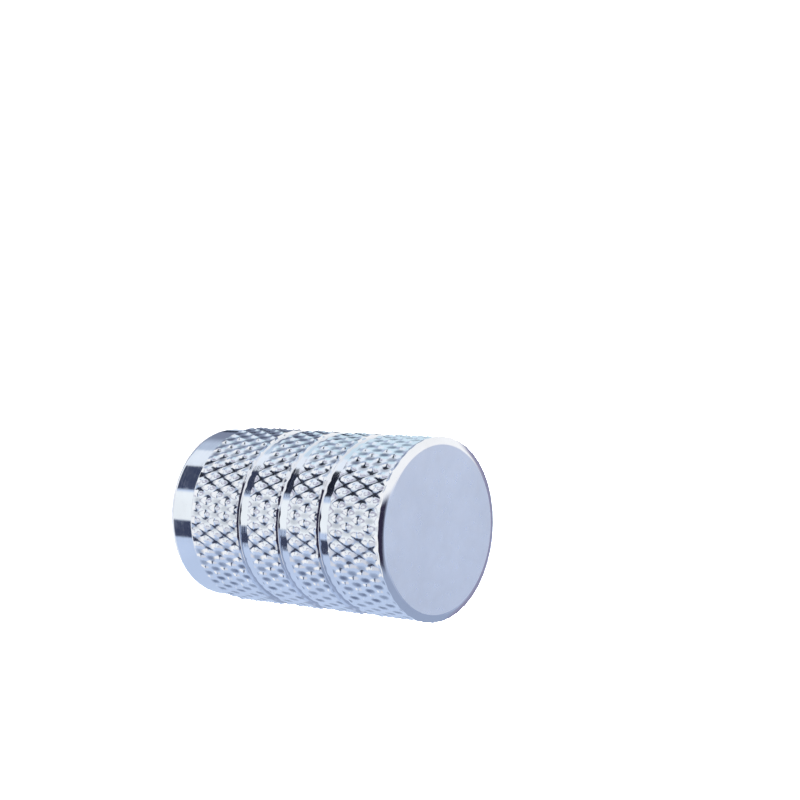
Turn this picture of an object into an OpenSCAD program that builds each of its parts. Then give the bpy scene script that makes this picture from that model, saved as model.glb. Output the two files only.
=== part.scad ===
// Tyre valve cap, knurled, turned from bar.
// The axis is Z. The cap stands on its open mouth at z = 0, with the closed end up.
// All sizes are in millimetres.

/* [Outside] */
// Diameter over the knurled bands
cap_d = 10.0; // [9.8:0.1:12]
// Length from the mouth to the closed end
cap_h = 15.5; // [14.6:0.1:17]
// Diameter of the plain collar at the mouth
collar_d = 9.55; // [9.3:0.05:9.7]
// Length of the plain collar
collar_h = 1.75; // [1.2:0.05:2]
// Radial width of the bevel round the closed end
bevel_r = 0.4; // [0.1:0.05:0.6]
// Axial height of the bevel round the closed end
bevel_h = 0.15; // [0.1:0.05:0.5]
// Height of the rounded outer edge of the mouth
lip_h = 0.2; // [0.1:0.05:0.25]

/* [Grooves] */
// Depth of each groove below the knurl tips
groove_depth = 0.24; // [0.16:0.01:0.45]
// Width of the groove floor
groove_w = 0.72; // [0.4:0.02:0.8]
// Distance from the closed end to the centre of the first groove
groove_first = 4.05; // [3.4:0.05:4.2]
// Distance between groove centres
groove_pitch = 2.9; // [2.6:0.05:3]

/* [Bore] */
// Major diameter of the valve thread, with its running clearance
thread_d = 7.8; // [7.74:0.02:7.9]
// Length of the threaded wall
thread_len = 9.2; // [7:0.1:9.4]
// Diameter of the counterbore at the mouth
entry_d = 8.3; // [8.2:0.05:8.5]
// Depth of the counterbore at the mouth
entry_h = 0.9; // [0.6:0.1:1.2]
// Length of the cone between the counterbore and the thread
entry_cone = 0.3; // [0.2:0.05:0.4]
// Diameter of the unthreaded end of the bore
relief_d = 6.9; // [6.9:0.1:7.2]
// Length of the unthreaded end of the bore
relief_len = 2.2; // [1.4:0.1:2.4]

/* [Seal] */
// Outer diameter of the rubber washer
seal_d = 6.8; // [6.2:0.05:6.85]
// Diameter of the hole in the rubber washer
seal_hole_d = 3.4; // [2.4:0.1:4]
// Thickness of the rubber washer
seal_t = 1.2; // [0.8:0.1:1.3]

/* [Hidden] */
$fn = 96;
thread_z0 = entry_h + entry_cone;
thread_z1 = thread_z0 + thread_len;
bore_end = thread_z1 + relief_len;
groove_z = [for (i = [0 : 2]) cap_h - groove_first - i * groove_pitch];
cap_r = cap_d / 2;
collar_r = collar_d / 2;
groove_r = cap_r - groove_depth;
// The groove walls flare out by this much from floor to rim
flare = 0.02;
// Fillet at the two corners of a groove floor
fillet = 0.04;

// Half section of one groove, from its lower rim to its upper rim
function groove_pts(z) = [
    [cap_r, z - groove_w / 2 - flare],
    [groove_r + fillet, z - groove_w / 2 - flare * fillet / groove_depth],
    [groove_r + fillet * 0.29, z - groove_w / 2 + fillet * 0.29],
    [groove_r, z - groove_w / 2 + fillet],
    [groove_r, z + groove_w / 2 - fillet],
    [groove_r + fillet * 0.29, z + groove_w / 2 - fillet * 0.29],
    [groove_r + fillet, z + groove_w / 2 + flare * fillet / groove_depth],
    [cap_r, z + groove_w / 2 + flare]
];

// The turned outside, as one closed half section from the mouth up
module cap_outside() {
    rotate_extrude()
        polygon(concat(
            [[0, 0],
             [collar_r - lip_h, 0],
             [collar_r - lip_h * 0.62, lip_h * 0.08],
             [collar_r - lip_h * 0.29, lip_h * 0.29],
             [collar_r - lip_h * 0.08, lip_h * 0.62],
             [collar_r, lip_h],
             [collar_r, collar_h - 0.08],
             [cap_r, collar_h + 0.12]],
            groove_pts(groove_z[2]),
            groove_pts(groove_z[1]),
            groove_pts(groove_z[0]),
            [[cap_r, cap_h - bevel_h],
             [cap_r - bevel_r, cap_h],
             [0, cap_h]]));
}

module cap_bore() {
    // counterbore, with a broken inner edge at the mouth
    translate([0, 0, -0.1]) cylinder(d = entry_d, h = entry_h + 0.1);
    translate([0, 0, -0.001]) cylinder(d1 = entry_d + 0.24, d2 = entry_d, h = 0.12);
    // lead-in cone
    translate([0, 0, entry_h]) cylinder(d1 = entry_d, d2 = thread_d, h = entry_cone);
    // threaded wall, at the major diameter of the thread
    translate([0, 0, thread_z0 - 0.001]) cylinder(d = thread_d, h = thread_len + 0.001);
    // unthreaded end that holds the washer
    translate([0, 0, thread_z1 - 0.001]) cylinder(d = relief_d, h = relief_len + 0.001);
}

module cap_body() {
    color([0.80, 0.82, 0.87])
        difference() {
            cap_outside();
            cap_bore();
        }
}

module seal_washer() {
    color([0.08, 0.08, 0.09])
        translate([0, 0, bore_end - seal_t])
            difference() {
                cylinder(d = seal_d, h = seal_t);
                translate([0, 0, -0.1]) cylinder(d = seal_hole_d, h = seal_t + 0.2);
            }
}

cap_body();
seal_washer();
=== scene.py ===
import math
import bpy
import numpy as np
from mathutils import Matrix, Vector


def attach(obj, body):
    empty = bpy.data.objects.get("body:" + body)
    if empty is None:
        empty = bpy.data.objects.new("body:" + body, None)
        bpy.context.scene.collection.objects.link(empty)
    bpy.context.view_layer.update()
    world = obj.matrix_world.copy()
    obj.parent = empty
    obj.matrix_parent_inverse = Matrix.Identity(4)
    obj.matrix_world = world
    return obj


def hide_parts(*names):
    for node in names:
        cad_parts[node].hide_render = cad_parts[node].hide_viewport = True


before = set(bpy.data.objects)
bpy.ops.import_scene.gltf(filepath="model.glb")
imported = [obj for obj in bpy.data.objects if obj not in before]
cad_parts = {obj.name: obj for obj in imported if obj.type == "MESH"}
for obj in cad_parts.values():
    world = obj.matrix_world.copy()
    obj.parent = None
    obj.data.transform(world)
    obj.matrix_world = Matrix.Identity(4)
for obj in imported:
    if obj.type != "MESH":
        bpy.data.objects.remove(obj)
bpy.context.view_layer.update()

MM = 0.001

# ---------------------------------------------------------------- sizes, mm
CAP_R = 4.995           # over the knurl, a hair inside the solid's box
CAP_H = 15.5
COLLAR_R = 4.77
COLLAR_H = 1.67         # the collar's plain length; the knurl starts 0.2 mm on
KNURL_Z0 = 1.87
BEVEL_R, BEVEL_H = 0.40, 0.15
GROOVE_FLOOR = 4.755
GROOVE_HALF = 0.36
FLARE = 0.02
GROOVES = [CAP_H - 4.05 - 2.9 * i for i in (2, 1, 0)]

STARTS = 42             # starts of the knurl each way round
DIAMOND = 1.478         # length of one diamond along the axis
CUT = 0.114             # depth of the knurl
STEPS = 8               # mesh steps across one diamond
THETA0 = math.radians(-112.65)      # where the rows of pits start round the cap
Z0 = CAP_H - 0.11                   # and along it

ENTRY_R, ENTRY_H = 4.15, 0.90
THREAD_MAJOR, THREAD_MINOR, THREAD_PITCH = 3.88, 3.45, 0.794
THREAD_END = 10.4
RELIEF_R, BORE_END = 3.45, 12.6

M = STARTS * STEPS      # points round the outside
MI = M // 2             # points round the bore
DZ = DIAMOND / (2 * STEPS)


# ---------------------------------------------------------------- the knurl
def groove_profile(u):
    """Height of the metal across one rolled groove: round at the bottom, straight flanks, a crisp crest."""
    d = np.abs((u + 0.5) % 1.0 - 0.5) * 2          # 0 in the groove, 1 on the crest
    a = 0.80
    y = np.where(d < a, d * d / (2 * a), d - a / 2)
    return y / (1 - a / 2)


def pit(theta, z):
    """1 at the bottom of each pit, where two grooves cross, and 0 away from it."""
    a = STARTS * (theta - THETA0) / (2 * math.pi)
    b = (z - Z0) / DIAMOND
    q = (groove_profile(a + b) + groove_profile(a - b)) / 2
    t = np.clip((0.27 - q) / 0.20, 0, 1)
    return t * t * (3 - 2 * t)


def scatter(i, j):
    """A repeatable number from 0 to 1 for each pad."""
    w = np.sin(i * 12.9898 + j * 78.233) * 43758.5453
    return w - np.floor(w)


def knurl_r(theta, z):
    """Radius of the knurled surface: two families of crossing helical grooves."""
    a = STARTS * (theta - THETA0) / (2 * math.pi)
    b = (z - Z0) / DIAMOND
    u, v = a + b, a - b
    g, h = groove_profile(u), groove_profile(v)
    # the deeper of the two cuts, the edge between them rounded over
    k = 0.3
    s = 0.15 * (g + h) / 2 + 0.85 * (np.minimum(g, h) - np.maximum(k - np.abs(g - h), 0) ** 2 / (4 * k))
    # the roller bit a little deeper towards the mouth, and not quite evenly round the cap
    cut_ = CUT * (1.06 - 0.010 * (z - 2)) * (1 + 0.07 * np.sin(2 * theta + 0.8) + 0.05 * np.sin(1.3 * z + 5 * theta))
    # it runs out just short of the closed end
    out = np.clip((CAP_H - BEVEL_H - z) / 0.24, 0, 1)
    cut_ = cut_ * (0.30 + 0.70 * out * out * (3 - 2 * out))
    # and is a little shallower where a groove was turned beside it
    for gz in GROOVES:
        near_groove = np.clip((np.abs(z - gz) - GROOVE_HALF - FLARE) / 0.16, 0, 1)
        cut_ = cut_ * (0.86 + 0.14 * near_groove)
    # each crest wanders slightly
    wu = scatter(np.floor(u), np.floor(v)) - 0.5
    top = np.clip(g * h, 0, 1) ** 3
    return CAP_R - cut_ * (1 - s) - 0.006 * top * (wu + 0.5)


# ---------------------------------------------------------------- mesh store
V, F, MAT = [], [], []
KNURL, TURNED, FACE, BORE = 0, 1, 2, 3


def add_verts(theta, r, z):
    base = len(V)
    theta, r, z = np.broadcast_arrays(theta, r, z)
    for t, rr, zz in zip(theta, r, z):
        V.append((rr * math.cos(t), rr * math.sin(t), zz))
    return list(range(base, base + len(theta)))


def thetas(n, par=0):
    return THETA0 + (2 * np.arange(n) + par) * math.pi / n


def ring(r, z, par=0, n=M):
    return add_verts(thetas(n, par), r, z), par, n


def face(idx, mat):
    F.append(idx)
    MAT.append(mat)


def strip(lo, hi, mat):
    """Joins a ring to the one above it, seen from outside the metal."""
    a, pa, n = lo
    b, pb, n2 = hi
    if n == n2:
        for m in range(n):
            m1 = (m + 1) % n
            if pa == pb:
                face((a[m], a[m1], b[m1], b[m]), mat)
            elif pa == 0:      # the upper ring is half a step on
                face((a[m], a[m1], b[m]), mat)
                face((a[m1], b[m1], b[m]), mat)
            else:
                face((a[m], b[m1], b[m]), mat)
                face((a[m], a[m1], b[m1]), mat)
    elif n == 2 * n2:
        for m in range(n2):
            m1 = (m + 1) % n2
            a0, a1, a2 = a[2 * m], a[2 * m + 1], a[(2 * m + 2) % n]
            face((a0, a1, b[m]), mat)
            face((a1, b[m1], b[m]), mat)
            face((a1, a2, b[m1]), mat)


# ---------------------------------------------------------------- outside
def knurl_band(z_lo, slope_lo, z_hi, slope_hi):
    """One knurled band. Its edge rows lie on the cone that meets them: slope is axial run per radial drop."""
    k0 = int(round((z_lo - Z0) / DZ))
    k1 = int(round((z_hi - Z0) / DZ))
    rows = []
    for k in range(k0, k1 + 1):
        par = k & 1
        th = thetas(M, par)
        z = np.full(M, Z0 + k * DZ)
        if k == k0:
            z = np.full(M, z_lo)
        elif k == k1:
            z = np.full(M, z_hi)
        r = knurl_r(th, z)
        if k == k0:
            for _ in range(3):
                z = z_lo - slope_lo * (CAP_R - r)
                r = knurl_r(th, z)
        if k == k1:
            for _ in range(3):
                z = z_hi + slope_hi * (CAP_R - r)
                r = knurl_r(th, z)
        rows.append((add_verts(th, r, z), par, M))
    for lo, hi in zip(rows[:-1], rows[1:]):
        strip(lo, hi, KNURL)
    return rows[0], rows[-1]


# mouth: rim flat, rounded outer edge, collar
lip = 0.2
prof = [(COLLAR_R - lip, 0.0), (COLLAR_R - lip * 0.80, 0.012), (COLLAR_R - lip * 0.55, lip * 0.10),
        (COLLAR_R - lip * 0.29, lip * 0.29), (COLLAR_R - lip * 0.10, lip * 0.55), (COLLAR_R - 0.004, lip * 0.82),
        (COLLAR_R, lip), (COLLAR_R, lip + 0.06), (COLLAR_R, 0.6), (COLLAR_R, 1.1), (COLLAR_R, COLLAR_H - 0.10),
        (COLLAR_R, COLLAR_H - 0.05), (COLLAR_R + 0.004, COLLAR_H)]
band_edges = [KNURL_Z0]
for g in GROOVES:
    band_edges += [g - GROOVE_HALF - FLARE, g + GROOVE_HALF + FLARE]
band_edges.append(CAP_H - BEVEL_H)

wall = FLARE / (CAP_R - GROOVE_FLOOR)
first = None
prev = None
bands = []
for i in range(4):
    z_lo, z_hi = band_edges[2 * i], band_edges[2 * i + 1]
    s_lo = 1.0 if i == 0 else -wall
    s_hi = BEVEL_H / BEVEL_R if i == 3 else -wall
    bands.append(knurl_band(z_lo, s_lo, z_hi, s_hi))

# collar, up to the first band
par = bands[0][0][1]
prev = None
outer_bottom = None
for r, z in prof:
    cur = ring(r, z, par)
    if prev is not None:
        strip(prev, cur, TURNED)
    else:
        outer_bottom = cur
    prev = cur
strip(prev, bands[0][0], TURNED)

# grooves, each with a small fillet at both corners of its floor
fil = 0.02
for i in range(3):
    lower, upper = bands[i][1], bands[i + 1][0]
    g = GROOVES[i]
    pts = [(GROOVE_FLOOR + fil, g - GROOVE_HALF - wall * fil),
           (GROOVE_FLOOR + fil * 0.29, g - GROOVE_HALF + fil * 0.25),
           (GROOVE_FLOOR, g - GROOVE_HALF + fil),
           (GROOVE_FLOOR, g),
           (GROOVE_FLOOR, g + GROOVE_HALF - fil),
           (GROOVE_FLOOR + fil * 0.29, g + GROOVE_HALF - fil * 0.25),
           (GROOVE_FLOOR + fil, g + GROOVE_HALF + wall * fil)]
    prev = lower
    for j, (r, z) in enumerate(pts):
        p = lower[1] if j < 4 else upper[1]
        cur = ring(r, z, p)
        strip(prev, cur, TURNED)
        prev = cur
    strip(prev, upper, TURNED)

# bevel and closed end
prev = bands[3][1]
par = prev[1]
for r, z, m in ((CAP_R - BEVEL_R * 0.86, CAP_H - BEVEL_H * 0.14, TURNED), (CAP_R - BEVEL_R, CAP_H - 0.012, TURNED),
                (CAP_R - BEVEL_R - 0.05, CAP_H, TURNED), (3.4, CAP_H, FACE), (2.2, CAP_H, FACE), (1.1, CAP_H, FACE),
                (0.35, CAP_H, FACE)):
    cur = ring(r, z, par)
    strip(prev, cur, m)
    prev = cur
top = add_verts(np.array([0.0]), np.array([0.0]), np.array([CAP_H]))[0]
for m in range(M):
    face((prev[0][m], prev[0][(m + 1) % M], top), FACE)

# ---------------------------------------------------------------- inside
par = outer_bottom[1]
chain = [outer_bottom]
for r, z in ((4.32, 0.0), (4.27, 0.004), (4.19, 0.06), (ENTRY_R, 0.13), (ENTRY_R, 0.5)):
    chain.append(ring(r, z, par))
for lo_, hi_ in zip(chain[1:], chain[:-1]):
    strip(lo_, hi_, TURNED)
# half as many points from here on
coarse = ring(ENTRY_R, ENTRY_H, 0, MI)
a, pa, n = chain[-1]
b = coarse[0]
for m in range(MI):
    m1 = (m + 1) % MI
    a0, a1, a2 = a[2 * m], a[2 * m + 1], a[(2 * m + 2) % M]
    face((a1, a0, b[m]), TURNED)
    face((a1, b[m], b[m1]), TURNED)
    face((a2, a1, b[m1]), TURNED)


def thread_r(theta, z):
    """Radius of the threaded wall: flanks at 60 degrees, cut back by the lead-in cone, running out at the far end."""
    x = (z / THREAD_PITCH - (theta - THETA0) / (2 * math.pi)) % 1.0      # right-handed
    d = np.abs(x - 0.5) * 2                                    # 1 at the root, 0 at the crest
    t = np.clip((d - 0.24) / 0.60, 0, 1)
    t = t * t * (3 - 2 * t) * 0.35 + t * 0.65
    fade = np.clip((THREAD_END - 0.05 - z) / 0.7, 0, 1)
    r = THREAD_MINOR + (THREAD_MAJOR - THREAD_MINOR) * t * fade
    cone = ENTRY_R - (z - ENTRY_H) * (ENTRY_R - 3.9) / 0.30
    return np.maximum(r, cone)


# rows follow the helix; where a row would pass an end of the wall it lies on that end
phases = [0.0, 0.08, 0.20, 0.38, 0.5, 0.62, 0.80, 0.92]
th = thetas(MI)
z0, z1 = ENTRY_H, THREAD_END
turns0 = int(math.floor(z0 / THREAD_PITCH)) - 2
turns1 = int(math.ceil(z1 / THREAD_PITCH)) + 1
lvl = [(t + p) for t in range(turns0, turns1) for p in phases]
lvl = [q for q in lvl if (q + 1.2) * THREAD_PITCH > z0 and q * THREAD_PITCH < z1 + 1e-9]
per = len(phases)
rows = []
for q in lvl:
    z = (q + (th - THETA0) / (2 * math.pi)) * THREAD_PITCH
    snap = 0.02
    z = np.where(z < z0 + snap, z0, z)
    z = np.where(z > z1 - snap, z1, z)
    r = thread_r(th, z)
    r = np.where(z <= z0, ENTRY_R, r)
    r = np.where(z >= z1, RELIEF_R, r)
    rows.append(add_verts(th, r, z))
for i in range(len(rows) - 1):
    for m in range(MI - 1):
        a, b = rows[i], rows[i + 1]
        face((a[m + 1], a[m], b[m], b[m + 1]), BORE)
    # the last column meets the first one a turn further on
    if i + per + 1 < len(rows):
        a, b = rows[i], rows[i + 1]
        c, d = rows[i + per], rows[i + per + 1]
        face((c[0], a[MI - 1], b[MI - 1], d[0]), BORE)
END_LOW = z0
relief_top = ring(RELIEF_R, z1, 0, MI)
r2 = ring(RELIEF_R, BORE_END - 0.05, 0, MI)
r3 = ring(RELIEF_R - 0.05, BORE_END, 0, MI)
r4 = ring(1.5, BORE_END, 0, MI)
for lo_, hi_ in ((r2, relief_top), (r3, r2), (r4, r3)):
    strip(lo_, hi_, BORE)
mid = add_verts(np.array([0.0]), np.array([0.0]), np.array([BORE_END]))[0]
for m in range(MI):
    face((r4[0][(m + 1) % MI], r4[0][m], mid), BORE)


def make_mesh(name, verts, faces, mats, materials):
    import bmesh
    v = np.array(verts) * MM
    me = bpy.data.meshes.new(name)
    me.from_pydata(v.tolist(), [], faces)
    me.polygons.foreach_set("material_index", np.array(mats, dtype=np.int32))
    me.update()
    bm = bmesh.new()
    bm.from_mesh(me)
    bmesh.ops.remove_doubles(bm, verts=bm.verts, dist=2e-7)
    bmesh.ops.dissolve_degenerate(bm, dist=1e-8, edges=bm.edges)
    open_edges = sum(1 for e in bm.edges if len(e.link_faces) != 2)
    bm.normal_update()
    vol = bm.calc_volume(signed=True)
    bm.to_mesh(me)
    bm.free()
    print(f"{name}: {len(me.vertices)} vertices, {sum(len(p.vertices) - 2 for p in me.polygons)} triangles, "
          f"{open_edges} edges not shared by two faces, volume {vol * 1e9:.1f} mm3")
    for m in materials:
        me.materials.append(m)
    ob = bpy.data.objects.new(name, me)
    bpy.context.scene.collection.objects.link(ob)
    return ob


# ---------------------------------------------------------------- materials
def new_mat(name):
    m = bpy.data.materials.new(name)
    m.use_nodes = True
    nt = m.node_tree
    return m, nt, nt.nodes["Principled BSDF"]


def noise(nt, vec, scale, detail=2.0, rough=0.5):
    n = nt.nodes.new("ShaderNodeTexNoise")
    n.inputs["Scale"].default_value = scale
    n.inputs["Detail"].default_value = detail
    n.inputs["Roughness"].default_value = rough
    nt.links.new(vec, n.inputs["Vector"])
    return n.outputs["Fac"]


def ramp_range(nt, fac, a, b, lo, hi):
    n = nt.nodes.new("ShaderNodeMapRange")
    n.inputs["From Min"].default_value = a
    n.inputs["From Max"].default_value = b
    n.inputs["To Min"].default_value = lo
    n.inputs["To Max"].default_value = hi
    nt.links.new(fac, n.inputs["Value"])
    return n.outputs["Result"]


def math_node(nt, op, a, b=None):
    n = nt.nodes.new("ShaderNodeMath")
    n.operation = op
    for i, x in enumerate((a, b)):
        if x is None:
            continue
        if isinstance(x, (int, float)):
            n.inputs[i].default_value = x
        else:
            nt.links.new(x, n.inputs[i])
    return n.outputs[0]


def ring_coords(nt):
    """Object coordinates, and the pair (distance from the axis, height) that lathe marks follow."""
    tc = nt.nodes.new("ShaderNodeTexCoord")
    sep = nt.nodes.new("ShaderNodeSeparateXYZ")
    nt.links.new(tc.outputs["Object"], sep.inputs[0])
    x, y, z = sep.outputs
    rr = math_node(nt, "SQRT", math_node(nt, "ADD", math_node(nt, "MULTIPLY", x, x), math_node(nt, "MULTIPLY", y, y)))
    return tc.outputs["Object"], x, y, z, rr


def lathe_vec(nt, rr, z, x, y, along=0.02):
    """Coordinates that change fast across the lathe marks and slowly along them."""
    c = nt.nodes.new("ShaderNodeCombineXYZ")
    nt.links.new(math_node(nt, "ADD", rr, z), c.inputs[0])
    nt.links.new(math_node(nt, "MULTIPLY", x, along), c.inputs[1])
    nt.links.new(math_node(nt, "MULTIPLY", y, along), c.inputs[2])
    return c.outputs[0]


def metal(name, colour, rough_lo, rough_hi, bump_turn=0.0, bump_grain=0.0, grain_scale=4000.0, tint=None, pit_shade=None):
    m, nt, p = new_mat(name)
    obj, x, y, z, rr = ring_coords(nt)
    p.inputs["Metallic"].default_value = 1.0
    big = noise(nt, obj, 350.0, 3.0, 0.6)
    fine = noise(nt, obj, grain_scale, 3.0, 0.6)
    mix = nt.nodes.new("ShaderNodeMix")
    mix.data_type = "RGBA"
    nt.links.new(ramp_range(nt, big, 0.35, 0.65, 0.0, 1.0), mix.inputs["Factor"])
    mix.inputs["A"].default_value = (*colour, 1)
    mix.inputs["B"].default_value = (*(tint or [c * 0.93 for c in colour]), 1)
    last_colour = mix.outputs["Result"]
    if pit_shade:
        # painted shade: the colour darkens to a dark blue-grey at the bottom of the pits, more in some than in others,
        # standing in for the shade in these recesses
        at = nt.nodes.new("ShaderNodeAttribute")
        at.attribute_name = "pit"
        n = nt.nodes.new("ShaderNodeMix")
        n.data_type = "RGBA"
        nt.links.new(math_node(nt, "MULTIPLY", at.outputs["Fac"], ramp_range(nt, noise(nt, obj, 900.0, 2.0, 0.5), 0.35, 0.65, 0.55, 0.95)),
                     n.inputs["Factor"])
        nt.links.new(last_colour, n.inputs["A"])
        n.inputs["B"].default_value = (*pit_shade, 1)
        last_colour = n.outputs["Result"]
    nt.links.new(last_colour, p.inputs["Base Color"])
    nt.links.new(ramp_range(nt, fine, 0.3, 0.7, rough_lo, rough_hi), p.inputs["Roughness"])
    last = None
    if bump_turn:
        lv = lathe_vec(nt, rr, z, x, y)
        t = noise(nt, lv, 9000.0, 2.0, 0.6)
        b = nt.nodes.new("ShaderNodeBump")
        b.inputs["Strength"].default_value = bump_turn
        b.inputs["Distance"].default_value = 0.00001
        nt.links.new(t, b.inputs["Height"])
        last = b.outputs["Normal"]
    if bump_grain:
        b = nt.nodes.new("ShaderNodeBump")
        b.inputs["Strength"].default_value = bump_grain
        b.inputs["Distance"].default_value = 0.00002
        nt.links.new(fine, b.inputs["Height"])
        if last:
            nt.links.new(last, b.inputs["Normal"])
        last = b.outputs["Normal"]
    if last:
        nt.links.new(last, p.inputs["Normal"])
    return m


# the knurl's last colour is painted shade at the bottom of its pits
mat_knurl = metal("knurled_metal", (0.90, 0.92, 0.96), 0.07, 0.14, bump_grain=0.08, pit_shade=(0.17, 0.19, 0.26))
mat_turned = metal("turned_metal", (0.90, 0.92, 0.96), 0.04, 0.10, bump_turn=0.25)
mat_face = metal("satin_face", (0.88, 0.90, 0.94), 0.26, 0.38, bump_turn=0.10, bump_grain=0.25, grain_scale=2500.0)
mat_bore = metal("bore_metal", (0.78, 0.76, 0.76), 0.16, 0.30, bump_turn=0.3)

cap = make_mesh("cap_shell", V, F, MAT, [mat_knurl, mat_turned, mat_face, mat_bore])
cap.data.polygons.foreach_set("use_smooth", [True] * len(cap.data.polygons))
cap.data.set_sharp_from_angle(angle=math.radians(13))
co = np.empty(len(cap.data.vertices) * 3)
cap.data.vertices.foreach_get("co", co)
co = co.reshape(-1, 3) / MM
# where the painted pit shade goes: the bottoms of the knurl's pits, weighted per vertex
on_knurl = (np.hypot(co[:, 0], co[:, 1]) > COLLAR_R + 0.05) & (co[:, 2] > KNURL_Z0) & (co[:, 2] < CAP_H - BEVEL_H - 0.08)
depth = pit(np.arctan2(co[:, 1], co[:, 0]), co[:, 2]) * on_knurl
# the pits are brighter along the side at -Y
# the painted shade in the pits is cut to half along the side at -Y, so the pits are brighter there
less_pit_shade = np.clip((-co[:, 1] / np.maximum(np.hypot(co[:, 0], co[:, 1]), 1e-6) - 0.77) / 0.17, 0, 1)
depth = depth * (1 - 0.5 * less_pit_shade * less_pit_shade * (3 - 2 * less_pit_shade))
cap.data.attributes.new("pit", "FLOAT", "POINT").data.foreach_set("value", depth.astype(np.float32))
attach(cap, "root")
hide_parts("cap_body")

# ---------------------------------------------------------------- washer
V2, F2 = [], []


def revolve_closed(profile, n, jitter=0.0):
    """A closed section turned round Z. Profile runs clockwise in (r, z) seen with r to the right."""
    verts, faces = [], []
    k = len(profile)
    for i in range(n):
        t = 2 * math.pi * i / n
        for j, (r, z) in enumerate(profile):
            w = jitter * math.sin(5 * t + j) * math.cos(3 * t + 0.7 * j)
            verts.append(((r + w) * math.cos(t), (r + w) * math.sin(t), z))
    for i in range(n):
        for j in range(k):
            a, b = i * k + j, i * k + (j + 1) % k
            c, d = ((i + 1) % n) * k + (j + 1) % k, ((i + 1) % n) * k + j
            faces.append((a, d, c, b))
    return verts, faces


def rounded_section(r0, r1, z0_, z1_, e, n=4):
    pts = []
    for cx, cz, start in ((r1 - e, z1_ - e, 0), (r0 + e, z1_ - e, 90), (r0 + e, z0_ + e, 180), (r1 - e, z0_ + e, 270)):
        for i in range(n + 1):
            a_ = math.radians(start + 90 * i / n)
            pts.append((cx + e * math.cos(a_), cz + e * math.sin(a_)))
    # extra points on the flat sides, so that the faces stay even
    out = []
    for i, p0 in enumerate(pts):
        p1 = pts[(i + 1) % len(pts)]
        out.append(p0)
        length = math.hypot(p1[0] - p0[0], p1[1] - p0[1])
        for s in range(1, int(length / 0.3) + 1):
            f_ = s / (int(length / 0.3) + 1)
            out.append((p0[0] + (p1[0] - p0[0]) * f_, p0[1] + (p1[1] - p0[1]) * f_))
    return out


wv, wf = revolve_closed(rounded_section(1.7, 3.39, 11.41, 12.595, 0.12), 128)
mr, nt, p = new_mat("washer_rubber")
obj, x, y, z, rr = ring_coords(nt)
p.inputs["Metallic"].default_value = 0.0
g = noise(nt, obj, 3000.0, 4.0, 0.6)
big = noise(nt, obj, 500.0, 2.0, 0.5)
mix = nt.nodes.new("ShaderNodeMix")
mix.data_type = "RGBA"
nt.links.new(big, mix.inputs["Factor"])
mix.inputs["A"].default_value = (0.020, 0.020, 0.021, 1)
mix.inputs["B"].default_value = (0.038, 0.037, 0.036, 1)
nt.links.new(mix.outputs["Result"], p.inputs["Base Color"])
nt.links.new(ramp_range(nt, g, 0.3, 0.7, 0.55, 0.75), p.inputs["Roughness"])
b = nt.nodes.new("ShaderNodeBump")
b.inputs["Strength"].default_value = 0.35
b.inputs["Distance"].default_value = 0.00003
nt.links.new(g, b.inputs["Height"])
nt.links.new(b.outputs["Normal"], p.inputs["Normal"])
washer = make_mesh("rubber_washer", wv, wf, [0] * len(wf), [mr])
washer.data.polygons.foreach_set("use_smooth", [True] * len(washer.data.polygons))
washer.data.set_sharp_from_angle(angle=math.radians(50))
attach(washer, "root")
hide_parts("seal_washer")

# ---------------------------------------------------------------- floor
# open under the mouth, so that the inside can be looked at from below
fme = bpy.data.meshes.new("floor")
fn = 96
fv = [(q * math.cos(2 * math.pi * i / fn), q * math.sin(2 * math.pi * i / fn), 0) for q in (4.56 * MM, 0.05, 0.85) for i in range(fn)]
fme.from_pydata(fv, [], [(k + i, k + fn + i, k + fn + (i + 1) % fn, k + (i + 1) % fn) for k in (0, fn) for i in range(fn)])
floor = bpy.data.objects.new("floor", fme)
bpy.context.scene.collection.objects.link(floor)
fm, nt, p = new_mat("floor_white")
p.inputs["Base Color"].default_value = (0.93, 0.93, 0.94, 1)
p.inputs["Roughness"].default_value = 0.9
p.inputs["Specular IOR Level"].default_value = 0.1
fme.materials.append(fm)
floor.visible_glossy = False
floor.visible_shadow = False

# ---------------------------------------------------------------- studio
world = bpy.data.worlds.new("studio")
bpy.context.scene.world = world
world.use_nodes = True
nt = world.node_tree
bg = nt.nodes["Background"]
tc = nt.nodes.new("ShaderNodeTexCoord")
sep = nt.nodes.new("ShaderNodeSeparateXYZ")
nt.links.new(tc.outputs["Generated"], sep.inputs[0])
dx, dy, dz = sep.outputs
RAD = 180 / math.pi
# turn about the cap's axis in degrees, 0 on the camera's side, and fall below the level in degrees
psi = math_node(nt, "MULTIPLY", math_node(nt, "ARCTAN2", math_node(nt, "MULTIPLY", dx, -1.0),
                                          math_node(nt, "MULTIPLY", dy, -1.0)), RAD)
fall = math_node(nt, "MULTIPLY", math_node(nt, "ARCSINE", math_node(nt, "MULTIPLY", dz, -1.0)), RAD)
side = math_node(nt, "MULTIPLY", dx, -1.0)       # towards the picture's top
near = math_node(nt, "MULTIPLY", dy, -1.0)       # towards the camera


def step(x, a, b):
    """0 below a, 1 above b, smooth between. With a above b it falls instead."""
    n = nt.nodes.new("ShaderNodeMapRange")
    n.interpolation_type = "SMOOTHSTEP"
    lo, hi, t0, t1 = (a, b, 0.0, 1.0) if a < b else (b, a, 1.0, 0.0)
    n.inputs["From Min"].default_value = lo
    n.inputs["From Max"].default_value = hi
    n.inputs["To Min"].default_value = t0
    n.inputs["To Max"].default_value = t1
    nt.links.new(x, n.inputs["Value"])
    return n.outputs["Result"]


def span(x, a, b, soft):
    return math_node(nt, "MULTIPLY", step(x, a - soft / 2, a + soft / 2), step(x, b + soft / 2, b - soft / 2))


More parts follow.
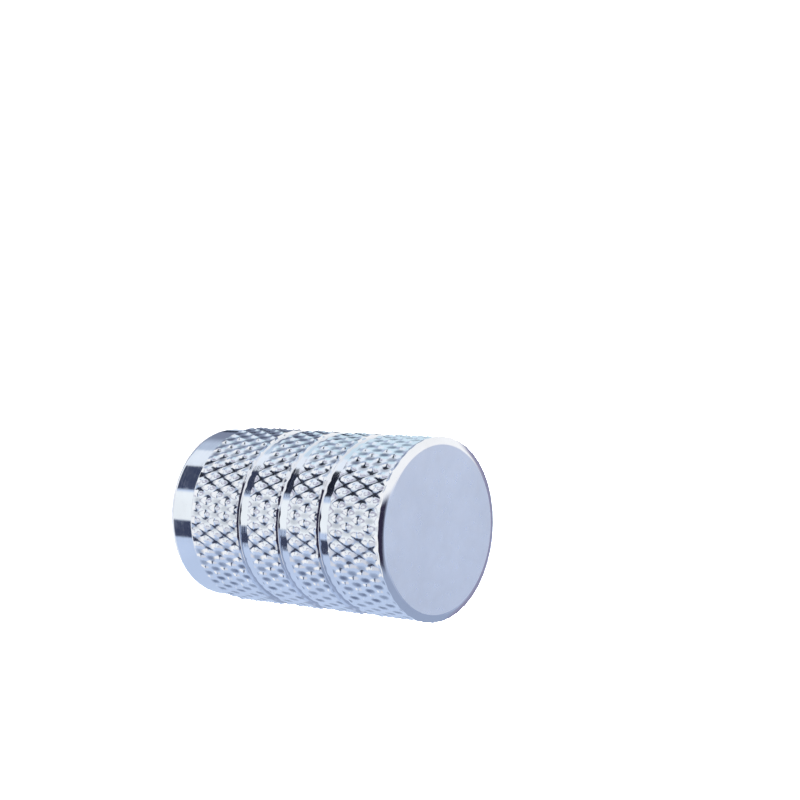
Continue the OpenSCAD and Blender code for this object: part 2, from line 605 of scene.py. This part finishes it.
def over(base, colour, fac, strength=1.0):
    n = nt.nodes.new("ShaderNodeMix")
    n.data_type = "RGBA"
    if strength != 1.0:
        fac = math_node(nt, "MULTIPLY", fac, strength)
    nt.links.new(fac, n.inputs["Factor"])
    for sock, c in (("A", base), ("B", colour)):
        if isinstance(c, tuple):
            n.inputs[sock].default_value = (*c, 1)
        else:
            nt.links.new(c, n.inputs[sock])
    return n.outputs["Result"]


def card(base, colour, p0, p1, f0, f1, sp=4.0, sf=5.0, strength=1.0, lean=0.0):
    """A panel of the studio between two turns and two falls. With a lean, its fall grows by that much for each degree of turn."""
    f_ = fall
    if lean:
        f_ = math_node(nt, "SUBTRACT", fall, math_node(nt, "MULTIPLY", math_node(nt, "SUBTRACT", psi, (p0 + p1) / 2), lean))
    return over(base, colour, math_node(nt, "MULTIPLY", span(psi, p0, p1, sp), span(f_, f0, f1, sf)), strength)


WHITE = (1.0, 1.0, 1.0)
LAV = (0.55, 0.66, 0.87)
NAVY = (0.020, 0.024, 0.060)
BLACK = (0.012, 0.014, 0.026)
PURPLE = (0.22, 0.18, 0.32)

# below the level: what the side of the cap sees
low = over(LAV, (0.70, 0.86, 0.96), step(psi, 20.0, 60.0))
low = over(low, (0.46, 0.53, 0.68), math_node(nt, "MULTIPLY", step(psi, 60.0, 100.0), step(fall, 39.0, 46.0)))
low = card(low, WHITE, -80, 86, 48, 100, 8, 4)
low = card(low, (0.72, 0.74, 0.81), -60, 86, -10, 35, 8, 4)
low = card(low, (0.93, 0.975, 1.0), -18, 22, 0, 100, 4, 5)
low = card(low, PURPLE, -18, 56, 26, 31, 5, 3, 0.7)
low = card(low, PURPLE, -18, 24, 50, 54.5, 5, 3, 0.6)
low = card(low, (0.86, 0.92, 1.0), 56, 90, 20, 47, 5, 5)
low = card(low, NAVY, -47, -27, 37.3, 42.9, 4, 0.8, 0.95)
low = card(low, BLACK, 30, 68, 36.2, 42.9, 4, 0.8)
low = card(low, (0.044, 0.056, 0.108), -42, -18, 42.6, 47.3, 4, 0.8)
low = card(low, (0.044, 0.056, 0.108), 25, 61, 42.6, 47.3, 4, 0.8)

# above the level: what the closed end and its bevel see
high = over((0.34, 0.41, 0.57), (0.56, 0.64, 0.82), step(side, -0.30, -0.16))
high = over(high, WHITE, step(side, 0.10, 0.22))
dark = math_node(nt, "MULTIPLY", step(near, -0.42, -0.30), span(side, -0.27, 0.15, 0.08))
overhead = math_node(nt, "MULTIPLY", span(side, -0.52, 0.44, 0.06), step(fall, -35.0, -50.0))
dark = math_node(nt, "MAXIMUM", dark, math_node(nt, "MULTIPLY", step(near, 0.15, 0.3), overhead))
high = over(high, (0.030, 0.026, 0.055), dark)
high = over(high, (0.30, 0.29, 0.42), math_node(nt, "MULTIPLY", step(near, -0.84, -0.92), step(fall, -24.0, -14.0)))

mixed = over(high, low, step(fall, -4.0, 4.0))
nt.links.new(mixed, bg.inputs["Color"])
bg.inputs["Strength"].default_value = 1.0

key = bpy.data.lights.new("overhead", "AREA")
key.shape = "DISK"
key.size = 0.25
key.energy = 2.6
key_o = bpy.data.objects.new("overhead", key)
key_o.location = (-0.02, 0.01, 0.30)
bpy.context.scene.collection.objects.link(key_o)
key_o.visible_camera = False
key_o.visible_glossy = False

fill = bpy.data.lights.new("low_side", "AREA")
fill.shape = "DISK"
fill.size = 0.25
fill.energy = 2.4
fill_o = bpy.data.objects.new("low_side", fill)
fill_o.location = (0.16, -0.10, 0.20)
fill_o.rotation_euler = Vector((0.16, -0.10, 0.20)).to_track_quat("Z", "Y").to_euler()
bpy.context.scene.collection.objects.link(fill_o)
fill_o.visible_camera = False
fill_o.visible_glossy = False

# a grey screen beside the mouth, seen only in the metal
sme = bpy.data.meshes.new("side_screen")
sme.from_pydata([tuple(c * MM for c in v) for v in
                 ((-12.5, -1.0, -21.5), (-12.5, 16.0, -21.5), (-12.5, 16.0, -0.5), (-12.5, -1.0, -0.5))], [], [(0, 1, 2, 3)])
screen = bpy.data.objects.new("side_screen", sme)
bpy.context.scene.collection.objects.link(screen)
sm, nt, p = new_mat("screen_grey")
p.inputs["Base Color"].default_value = (0.0, 0.0, 0.0, 1)
p.inputs["Specular IOR Level"].default_value = 0.0
p.inputs["Emission Strength"].default_value = 1.0
stc = nt.nodes.new("ShaderNodeTexCoord")
ssep = nt.nodes.new("ShaderNodeSeparateXYZ")
nt.links.new(stc.outputs["Object"], ssep.inputs[0])
nt.links.new(over((0.22, 0.255, 0.355), (0.03, 0.04, 0.07), step(ssep.outputs[1], 0.0085, 0.0105)), p.inputs["Emission Color"])
nt.links.new(step(ssep.outputs[1], -0.001, 0.003), p.inputs["Alpha"])
sme.materials.append(sm)
screen.visible_camera = False
screen.visible_diffuse = False
screen.visible_shadow = False

# ---------------------------------------------------------------- camera
cam = bpy.data.cameras.new("camera")
cam.sensor_width = 36.0
cam.lens = 90.0
cam.clip_start = 0.005
cam.clip_end = 5.0
cam_o = bpy.data.objects.new("camera", cam)
bpy.context.scene.collection.objects.link(cam_o)
right = Vector((-0.087518, 0.626604, 0.774408))
up = Vector((-0.994185, -0.103904, -0.028283))
back = -Vector((-0.062742, 0.772381, -0.632054))
rot = Matrix((right, up, back)).transposed()
cam_o.matrix_world = Matrix.Translation(Vector((0.0, -84.2748, 80.9539)) * MM) @ rot.to_4x4()
bpy.context.scene.camera = cam_o

bpy.context.scene.view_settings.view_transform = "Standard"
bpy.context.scene.view_settings.look = "None"
